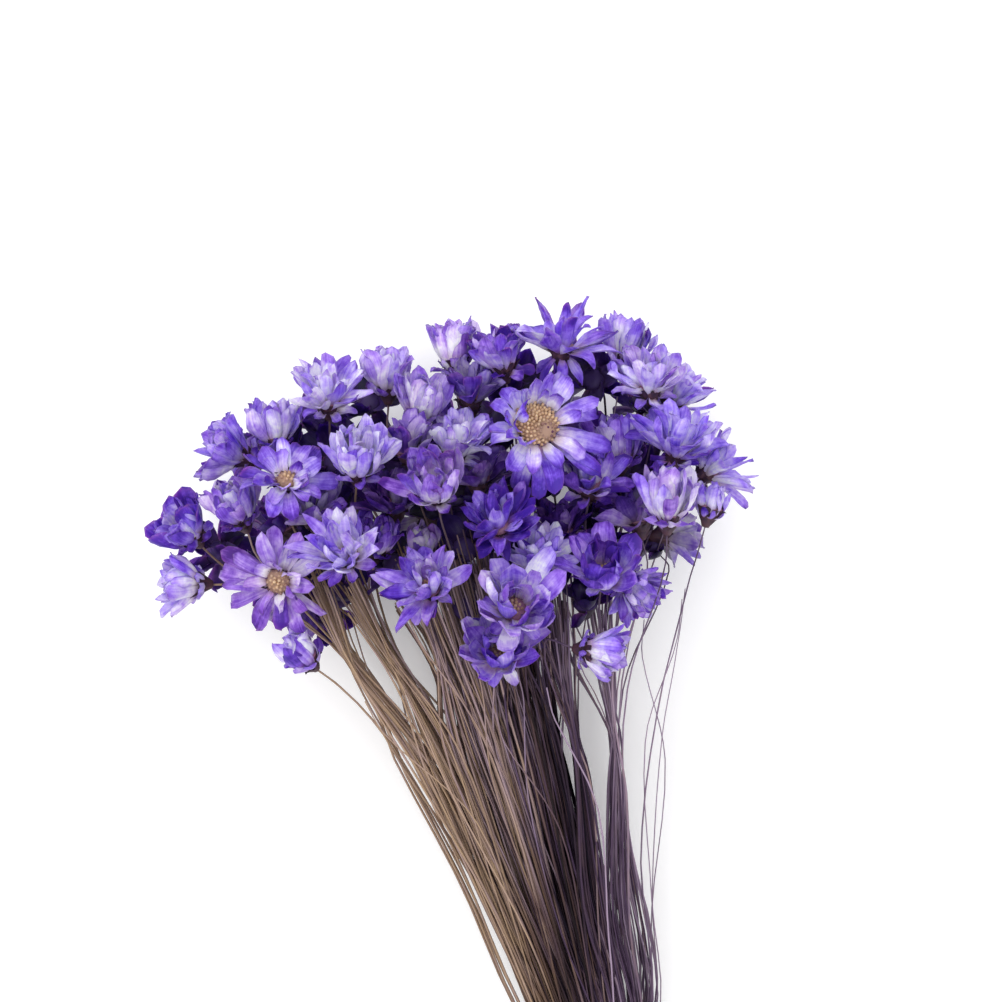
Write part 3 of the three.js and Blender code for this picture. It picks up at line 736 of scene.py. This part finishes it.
def cut_blank(name, wide, long):
    """A flat blank, 2 wide and 1 long, of two sheets joined round their rim. Its underside is at -1."""
    sheet = bmesh.new()
    bmesh.ops.create_grid(sheet, x_segments=wide, y_segments=long, size=1)
    bmesh.ops.scale(sheet, vec=Vector((1, 0.5, 1)), verts=sheet.verts)
    bmesh.ops.translate(sheet, vec=Vector((0, 0.5, 0)), verts=sheet.verts)
    under = bmesh.ops.duplicate(sheet, geom=sheet.verts[:] + sheet.edges[:] + sheet.faces[:])["geom"]
    bmesh.ops.reverse_faces(sheet, faces=[item for item in under if isinstance(item, bmesh.types.BMFace)])
    for vert in [item for item in under if isinstance(item, bmesh.types.BMVert)]:
        if not vert.is_boundary:
            vert.co.z = -1
    bmesh.ops.remove_doubles(sheet, verts=sheet.verts, dist=0.001)
    for edge in sheet.edges:
        edge.smooth = len({face.calc_center_median().z < -0.05 for face in edge.link_faces}) == 1
    for vert in sheet.verts:
        vert.co.y = 1 - (1 - vert.co.y) ** 1.35
    mesh = bpy.data.meshes.new(name)
    sheet.to_mesh(mesh)
    sheet.free()
    return mesh


def half_width(t, point):
    """Half of a petal's width at t of its length, as a part of its full width: blunt or pointed."""
    peak = 0.68 - 0.2 * point
    if t < peak:
        return 0.22 + 0.28 * math.sin(t / peak * math.pi / 2)
    s = (t - peak) / (1 - peak)
    return 0.03 + 0.47 * ((1 - point) * math.sqrt(1 - s**2.6) + point * (1 - s**1.5))


def bend_blank(blank, petal):
    """The blank's points bent to a petal in its flower's own frame, with the flat place of each."""
    places = {}
    middle = Vector((petal.root, 0, -petal.depth))
    last = 0
    for t in sorted({round(vert.co.y, 5) for vert in blank.vertices}):
        angle = math.radians(petal.rise + petal.curl * t + petal.tip * max(0, t - 0.55) ** 2 * 5)
        ahead = Vector((math.cos(angle), 0, math.sin(angle)))
        middle = middle + ahead * (t - last) * petal.length
        last = t
        places[t] = (middle, Vector((-math.sin(angle), 0, math.cos(angle))))
    points, flats = [], []
    for vert in blank.vertices:
        u, t, sheet = vert.co.x, round(vert.co.y, 5), vert.co.z
        middle, up = places[t]
        half = petal.width * half_width(t, petal.point)
        half *= 1 + petal.tatter * math.sin(8 * t + 2 * petal.phase + 2 * u)
        cup = math.radians(petal.cup) * (1 - 0.4 * t)
        side = math.sin(u * cup) / cup * half
        lift = (1 - math.cos(u * cup)) / cup * half
        lift += petal.ruffle * math.sin(7 * t + petal.phase + u) * u * u
        lift += petal.keel * abs(u) * half + petal.crimp * math.sin(11 * t + 3 * u + 2 * petal.phase) * t
        lift += sheet * petal.thick * min(1, 6 * (1 - t))
        roll = math.radians(petal.roll + petal.twist * t)
        side, lift = (
            side * math.cos(roll) - lift * math.sin(roll), side * math.sin(roll) + lift * math.cos(roll),
        )
        side += petal.sway * petal.length * t * t
        points.append(middle + Vector((0, side, 0)) + up * lift)
        flats.append((u * half, t * petal.length, petal.phase * 9))
    turn = Quaternion((0, 0, 1), petal.azimuth)
    return [turn @ point for point in points], flats


def add_petal(shape, blank, points, flats, petal, material):
    """Adds a bent blank to the shape, with its dye and its flat places for the veins."""
    first = len(shape.verts)
    first_face = len(shape.faces)
    shape.from_mesh(blank)
    shape.verts.ensure_lookup_table()
    shape.faces.ensure_lookup_table()
    flat = shape.verts.layers.float_vector["flat"]
    dye = shape.verts.layers.float_color["dye"]
    wash = shape.verts.layers.float_color["wash"]
    for i, (point, place) in enumerate(zip(points, flats)):
        vert = shape.verts[first + i]
        u, t = vert.co.x, vert.co.y
        vert[dye] = (petal.dye, petal.mauve, t, abs(u))
        vert[wash] = petal.wash
        vert[flat] = place
        vert.co = point
    for i in range(first_face, len(shape.faces)):
        shape.faces[i].material_index = material


def plan_petals(flower):
    """The petals of one flower before any is bent clear, each layer staggered to the last."""
    plan = []
    start = random.uniform(0, 2 * math.pi)
    layers = FORMS[flower.form]
    side, most = SLUMPS.get(flower.number, (random.uniform(0, 360), 0.25))
    darkest, lightest = SHADES.get(flower.number, SHADES.get(flower.form, (0.9, 1.15)))
    inner = INNER.get(flower.number, 0) / 3
    for level, (count, root, depth, rise, curl, tip, reach, width, more) in enumerate(layers):
        for i in range(count):
            azimuth = start + (i + level * 0.5) / count * 2 * math.pi + random.gauss(0, 0.11)
            slump = most * math.cos(azimuth - math.radians(side))
            plan.append(SimpleNamespace(
                azimuth=azimuth, root=flower.disc * root, depth=depth,
                rise=rise - 20 * slump + random.gauss(0, 8), curl=curl + random.gauss(0, 12),
                tip=tip - 12 * slump + random.gauss(0, 26),
                length=flower.petal * reach * (1 + 0.18 * slump) * random.uniform(0.82, 1.06),
                width=width * min(1, flower.petal / 9) * random.uniform(0.82, 1.12),
                cup=random.uniform(20, 75), roll=random.gauss(9, 12), twist=random.gauss(0, 24),
                sway=random.gauss(0, 0.08), ruffle=random.uniform(0.05, 0.6),
                keel=random.uniform(0, 0.3), crimp=random.uniform(0, 0.2), tatter=random.uniform(0, 0.14),
                phase=random.uniform(0, 6.3), point=min(1, max(0, random.gauss(flower.point, 0.22))),
                thick=PETAL_THICK,
                dye=max(0.08, flower.dye - 0.2 + more + inner * level + 0.2 * slump + random.gauss(0, 0.16)),
                mauve=min(1, max(0, flower.mauve + random.gauss(0, 0.15))),
                # The wash: dye at the tips and at the edges, the foot's colour, and a dimming that is random
                # tone on most flowers and painted shade on the deep ones and the gap flowers
                wash=(
                    random.uniform(0.1, 0.7) * min(1, 0.4 + flower.dye) + TIPPED.get(flower.number, 0),
                    random.uniform(0, 0.25),
                    random.uniform(0.3, 1),
                    random.uniform(darkest, lightest),
                ),
            ))
    return plan


petal_blank = cut_blank("petal_blank", 4, 6)
scale_blank = cut_blank("scale_blank", 2, 3)
petal_faces = [tuple(face.vertices) for face in petal_blank.polygons]

blank = bmesh.new()
bmesh.ops.create_cone(blank, cap_ends=True, segments=5, radius1=0.44, radius2=0.27, depth=1)
bmesh.ops.translate(blank, vec=Vector((0, 0, 0.5)), verts=blank.verts)
floret = bpy.data.meshes.new("floret")
blank.to_mesh(floret)
blank.free()


def add_florets(shape, flower, eye):
    """Sets tiny florets close together on the part of the disc that shows, lower and darker in a hollow."""
    dye = shape.verts.layers.float_color["dye"]
    count = round(FLORETS * (flower.disc * eye) ** 2)
    for i in range(count):
        part = math.sqrt((i + 0.5) / count) * eye
        angle = i * GOLDEN_TURN
        reach = part * flower.disc * 0.92
        place = Vector((math.cos(angle) * reach, math.sin(angle) * reach, 0))
        place.z = DISC_RISE * (1 - part * part) - 0.3
        lean = Vector((0, 0, 1)).rotation_difference(Vector((place.x, place.y, flower.disc * 1.6)))
        tall = random.uniform(0.7, 1.15)
        first, first_face = len(shape.verts), len(shape.faces)
        shape.from_mesh(floret)
        shape.verts.ensure_lookup_table()
        shape.faces.ensure_lookup_table()
        # The florets darken towards the disc's rim, partly their own reddish ring and partly painted shade,
        # and in the great flower's hollow, where the dark is painted shade
        hollow = part**2 * 0.8
        if flower.number == GREAT:
            x, y, reach = HOLLOW
            hollow = math.exp(-(((place.x - x) ** 2 + (place.y - y) ** 2) / reach**2))
        place.z -= hollow * 0.8
        tone = (random.uniform(0.2, 1), min(1, hollow * 1.3), 0, 1)
        for k in range(first, len(shape.verts)):
            vert = shape.verts[k]
            vert[dye] = tone
            vert.co = place + lean @ Vector((vert.co.x, vert.co.y, vert.co.z * tall))
        for k in range(first_face, len(shape.faces)):
            shape.faces[k].material_index = 2


def add_scales(shape, flower):
    """Lays pointed scales on the calyx, in rows that shingle over one another."""
    for row, (count, height, long) in enumerate(SCALE_ROWS):
        for i in range(count):
            scale = SimpleNamespace(
                azimuth=(i + row * 0.5) / count * 2 * math.pi + random.gauss(0, 0.06),
                root=CALYX_FOOT + (1 - height / CALYX_DEPTH) * (flower.disc * CALYX_TOP - CALYX_FOOT),
                depth=height, rise=58 + random.gauss(0, 4), curl=10, tip=random.gauss(-30, 30),
                length=long * random.uniform(0.9, 1.1), width=SCALE_WIDTH, cup=50,
                roll=random.gauss(4, 3), twist=0, sway=0, ruffle=0, keel=0, crimp=0, tatter=0,
                phase=random.uniform(0, 6.3), point=0.5, thick=SCALE_THICK,
                dye=random.random(), mauve=row / 2, wash=(0, 0, 0, 1),
            )
            points, flats = bend_blank(scale_blank, scale)
            add_petal(shape, scale_blank, points, flats, scale, 1)


for flower in flowers:
    random.seed(flower.number)
    flower.disc = DISCS.get(flower.number, DISC_RADIUS)
    flower.point = POINTS.get(flower.form, random.choice((0.15, 0.35, 0.6)))
    shape = bmesh.new()
    shape.verts.layers.float_vector.new("flat")
    dye = shape.verts.layers.float_color.new("dye")
    wash = shape.verts.layers.float_color.new("wash")
    cone = bmesh.ops.create_cone(
        shape, cap_ends=True, segments=12, radius1=CALYX_FOOT, radius2=flower.disc * CALYX_TOP,
        depth=CALYX_DEPTH,
    )
    bmesh.ops.translate(shape, vec=Vector((0, 0, -CALYX_DEPTH / 2)), verts=cone["verts"])
    top = max(shape.faces, key=lambda face: face.calc_center_median().z)
    for part, rise in DOME:
        bmesh.ops.inset_region(
            shape, faces=[top], thickness=flower.disc * part * 0.6, depth=rise, use_even_offset=True,
        )
    eye = EYES.get(flower.form, 0.3)
    for face in shape.faces:
        face.material_index = 1 if face.calc_center_median().z < 0.1 else 2 if eye == 1 else 0
    # The cores of the dark gap flowers take the darkest husk colour and are dimmed, as painted shade
    for vert in shape.verts:
        vert[dye] = (0.6, 0.5, 1 if flower.form == "withered" else 0, 0)
        vert[wash] = (0, 0, 1, 0.2 if flower.form == "withered" else 1)
    if flower.form != "withered":
        add_florets(shape, flower, eye)
        add_scales(shape, flower)
    flower.shape = shape
    core = shape.copy()
    bmesh.ops.rotate(core, matrix=flower.turn.to_matrix(), verts=core.verts)
    bmesh.ops.translate(core, vec=flower.middle, verts=core.verts)
    flower.trees = [BVHTree.FromBMesh(core)]
    core.free()

for flower in sorted(flowers, key=lambda one: -one.middle.z):
    random.seed(flower.number + 100)
    near = [one for one in flowers if one is not flower and (one.middle - flower.middle).length < NEIGHBOURS]
    for petal in plan_petals(flower):
        rise, length = petal.rise, petal.length
        best = None
        for more, part in BENDS:
            petal.rise, petal.length = rise + more, length * part
            points, flats = bend_blank(petal_blank, petal)
            real = [flower.turn @ point + flower.middle for point in points]
            if min(point.z for point in real) < FLOOR_GAP:
                continue
            tree = BVHTree.FromPolygons(real, petal_faces)
            crossed = sum(len(tree.overlap(other)) for one in near for other in one.trees)
            crossed += len(tree.overlap(stem_tree))
            if best is None or crossed < best[0]:
                best = (crossed, points, flats, tree)
            if crossed == 0:
                break
        if best and best[0] < MOST_CROSSINGS:
            flower.trees.append(best[3])
            add_petal(flower.shape, petal_blank, best[1], best[2], petal, 0)

paper, nodes, links, shader = new_material("dyed_petal")
shader.inputs["Roughness"].default_value = 0.45
shader.inputs["Specular IOR Level"].default_value = 0.2
shader.inputs["Subsurface Weight"].default_value = 0.3
shader.inputs["Subsurface Radius"].default_value = (0.8, 0.6, 1)
shader.inputs["Subsurface Scale"].default_value = 0.0008
flat = add_node(nodes, "ShaderNodeAttribute", attribute_name="flat")
dye = add_node(nodes, "ShaderNodeAttribute", attribute_name="dye")
parts = add_node(nodes, "ShaderNodeSeparateColor")
stretch = add_node(nodes, "ShaderNodeMapping", Scale=(1, 0.06, 1))
veins = add_node(nodes, "ShaderNodeTexNoise", Scale=2.4, Detail=3, Roughness=0.55)
blots = add_node(nodes, "ShaderNodeTexNoise", Scale=0.3, Detail=4, Roughness=0.6)
vein_part = add_node(nodes, "ShaderNodeMapRange", To_Min=-0.32, To_Max=0.32)
blot_part = add_node(nodes, "ShaderNodeMapRange", To_Min=-0.7, To_Max=0.7)
edge_part = add_node(nodes, "ShaderNodeMath", operation="POWER")
edge_part.inputs[1].default_value = 4
edge_dye = add_node(nodes, "ShaderNodeMath", operation="MULTIPLY")
tip_part = add_node(nodes, "ShaderNodeMapRange", From_Min=0.25, From_Max=1)
tip_rise = add_node(nodes, "ShaderNodeMath", operation="POWER")
tip_rise.inputs[1].default_value = 1.4
tip_dye = add_node(nodes, "ShaderNodeMath", operation="MULTIPLY")
first_sum = add_node(nodes, "ShaderNodeMath", operation="ADD")
second_sum = add_node(nodes, "ShaderNodeMath", operation="ADD")
third_sum = add_node(nodes, "ShaderNodeMath", operation="ADD")
total = add_node(nodes, "ShaderNodeMath", operation="ADD", use_clamp=True)
wash = add_node(nodes, "ShaderNodeAttribute", attribute_name="wash")
wash_parts = add_node(nodes, "ShaderNodeSeparateColor")
violets = add_ramp(
    nodes, (0, (0.84, 0.82, 0.96)), (0.25, (0.55, 0.46, 0.88)), (0.5, (0.295, 0.19, 0.78)),
    (0.75, (0.14, 0.056, 0.57)), (1, (0.05, 0.015, 0.30)),
)
mauves = add_ramp(
    nodes, (0, (0.85, 0.77, 0.86)), (0.25, (0.60, 0.44, 0.73)), (0.5, (0.38, 0.20, 0.60)),
    (0.75, (0.20, 0.07, 0.40)), (1, (0.07, 0.016, 0.18)),
)
hue = add_node(nodes, "ShaderNodeMix", data_type="RGBA")
foot_part = add_node(nodes, "ShaderNodeMapRange", From_Min=0.05, From_Max=0.36, To_Min=1, To_Max=0)
foot_dye = add_node(nodes, "ShaderNodeMath", operation="MULTIPLY")
foot = add_node(nodes, "ShaderNodeMix", data_type="RGBA")
foot_colours = add_ramp(nodes, (0.1, (0.52, 0.38, 0.40)), (0.7, (0.24, 0.09, 0.17)))
# The last part of the wash dims the colour: a little at random, and as painted shade on the deep flowers and
# the gap flowers
dimmed = add_node(nodes, "ShaderNodeVectorMath", operation="SCALE")
creases = add_node(nodes, "ShaderNodeBump", Strength=0.5, Distance=0.00012)
join(
    links,
    (flat, "Vector", stretch, "Vector"),
    (stretch, "Vector", veins, "Vector"),
    (flat, "Vector", blots, "Vector"),
    (dye, "Color", parts, "Color"),
    (veins, "Fac", vein_part, "Value"),
    (blots, "Fac", blot_part, "Value"),
    (wash, "Color", wash_parts, "Color"),
    (dye, "Alpha", edge_part, 0),
    (edge_part, "Value", edge_dye, 0),
    (wash_parts, "Green", edge_dye, 1),
    (parts, "Blue", tip_part, "Value"),
    (tip_part, "Result", tip_rise, 0),
    (tip_rise, "Value", tip_dye, 0),
    (wash_parts, "Red", tip_dye, 1),
    (vein_part, "Result", first_sum, 0),
    (blot_part, "Result", first_sum, 1),
    (first_sum, "Value", second_sum, 0),
    (tip_dye, "Value", second_sum, 1),
    (second_sum, "Value", third_sum, 0),
    (edge_dye, "Value", third_sum, 1),
    (third_sum, "Value", total, 0),
    (parts, "Red", total, 1),
    (total, "Value", violets, "Fac"),
    (total, "Value", mauves, "Fac"),
    (parts, "Green", hue, "Factor"),
    (violets, "Color", hue, "A"),
    (mauves, "Color", hue, "B"),
    (parts, "Blue", foot_part, "Value"),
    (foot_part, "Result", foot_dye, 0),
    (wash_parts, "Blue", foot_dye, 1),
    (foot_dye, "Value", foot, "Factor"),
    (hue, "Result", foot, "A"),
    (parts, "Red", foot_colours, "Fac"),
    (foot_colours, "Color", foot, "B"),
    (foot, "Result", dimmed, 0),
    (wash, "Alpha", dimmed, "Scale"),
    (dimmed, "Vector", shader, "Base Color"),
    (veins, "Fac", creases, "Height"),
    (creases, "Normal", shader, "Normal"),
)

husk, nodes, links, shader = new_material("brown_calyx")
shader.inputs["Roughness"].default_value = 0.65
dye = add_node(nodes, "ShaderNodeAttribute", attribute_name="dye")
parts = add_node(nodes, "ShaderNodeSeparateColor")
husk_colours = add_ramp(nodes, (0, (0.08, 0.03, 0.045)), (1, (0.022, 0.008, 0.028)))
join(
    links,
    (dye, "Color", parts, "Color"),
    (parts, "Blue", husk_colours, "Fac"),
    (husk_colours, "Color", shader, "Base Color"),
)

pollen, nodes, links, shader = new_material("tan_florets")
shader.inputs["Roughness"].default_value = 0.8
dye = add_node(nodes, "ShaderNodeAttribute", attribute_name="dye")
parts = add_node(nodes, "ShaderNodeSeparateColor")
pollen_colours = add_ramp(nodes, (0, (0.40, 0.22, 0.13)), (1, (0.76, 0.55, 0.33)))
# The dark that the florets take towards the rim and in a hollow, partly painted shade
hollow = add_node(nodes, "ShaderNodeMix", data_type="RGBA")
hollow.inputs["B"].default_value = (0.10, 0.03, 0.07, 1)
join(
    links,
    (dye, "Color", parts, "Color"),
    (parts, "Red", pollen_colours, "Fac"),
    (parts, "Green", hollow, "Factor"),
    (pollen_colours, "Color", hollow, "A"),
    (hollow, "Result", shader, "Base Color"),
)

# The dark flowers that stand for the shade in the gaps go into one piece
shade_filler_shape = bmesh.new()
for flower in flowers:
    bmesh.ops.rotate(flower.shape, matrix=flower.turn.to_matrix(), verts=flower.shape.verts)
    bmesh.ops.translate(flower.shape, vec=flower.middle, verts=flower.shape.verts)
    if flower.form == "withered":
        one = bpy.data.meshes.new("one")
        flower.shape.to_mesh(one)
        flower.shape.free()
        shade_filler_shape.from_mesh(one)
    else:
        name = f"{flower.number:02d}"
        finish_piece(f"daisy_{name}", flower.shape, f"bloom_{name}", [paper, husk, pollen])
finish_piece("shade_filler_flowers", shade_filler_shape, None, [paper, husk, pollen])

# The tie
# Three close turns of thick, flat-lying garden twine, twisted from three plies of jute. Its ends are cut
# close beside the turns.
TURNS = 3
TURN_PITCH = 2.5
TWINE_RADIUS = 6.2
PLIES = 3
PLY_RADIUS = 0.5
PLY_SIDES = 6
PLY_ACROSS = 0.7
PLY_DEEP = 0.3
TWISTS = 9
STEPS = 60

ply = cut_rod("ply", PLY_SIDES, TURNS * STEPS)
twine_shape = bmesh.new()
twine_shape.verts.layers.float_vector.new("straight")
twine_shape.verts.layers.float_color.new("tint")
middle = Vector((0, 0, TIE_HEIGHT))
for strand in range(PLIES):
    points = []
    for i in range(TURNS * STEPS + 1):
        turn = i / STEPS * 2 * math.pi
        twist = turn * TWISTS + strand * 2 * math.pi / PLIES
        outward = across * math.cos(turn) + Vector((0, 0, math.sin(turn)))
        run = (i / STEPS - TURNS / 2) * TURN_PITCH
        point = middle + along * (run + math.cos(twist) * PLY_ACROSS)
        points.append(point + outward * (TWINE_RADIUS + math.sin(twist) * PLY_DEEP))
    carry_rod(twine_shape, ply, points, PLY_RADIUS, (random.random(), 0, strand / PLIES, 1))

jute, nodes, links, shader = new_material("jute_twine")
shader.inputs["Roughness"].default_value = 0.85
straight = add_node(nodes, "ShaderNodeAttribute", attribute_name="straight")
stretch = add_node(nodes, "ShaderNodeMapping", Scale=(1, 1, 0.2))
fibres = add_node(nodes, "ShaderNodeTexNoise", Scale=6, Detail=5, Roughness=0.7)
jute_colours = add_ramp(nodes, (0.25, (0.20, 0.12, 0.06)), (0.75, (0.60, 0.44, 0.25)))
fuzz = add_node(nodes, "ShaderNodeBump", Strength=0.6, Distance=0.0002)
join(
    links,
    (straight, "Vector", stretch, "Vector"),
    (stretch, "Vector", fibres, "Vector"),
    (fibres, "Fac", jute_colours, "Fac"),
    (jute_colours, "Color", shader, "Base Color"),
    (fibres, "Fac", fuzz, "Height"),
    (fuzz, "Normal", shader, "Normal"),
)
finish_piece("twine_turns", twine_shape, "tie", [jute])
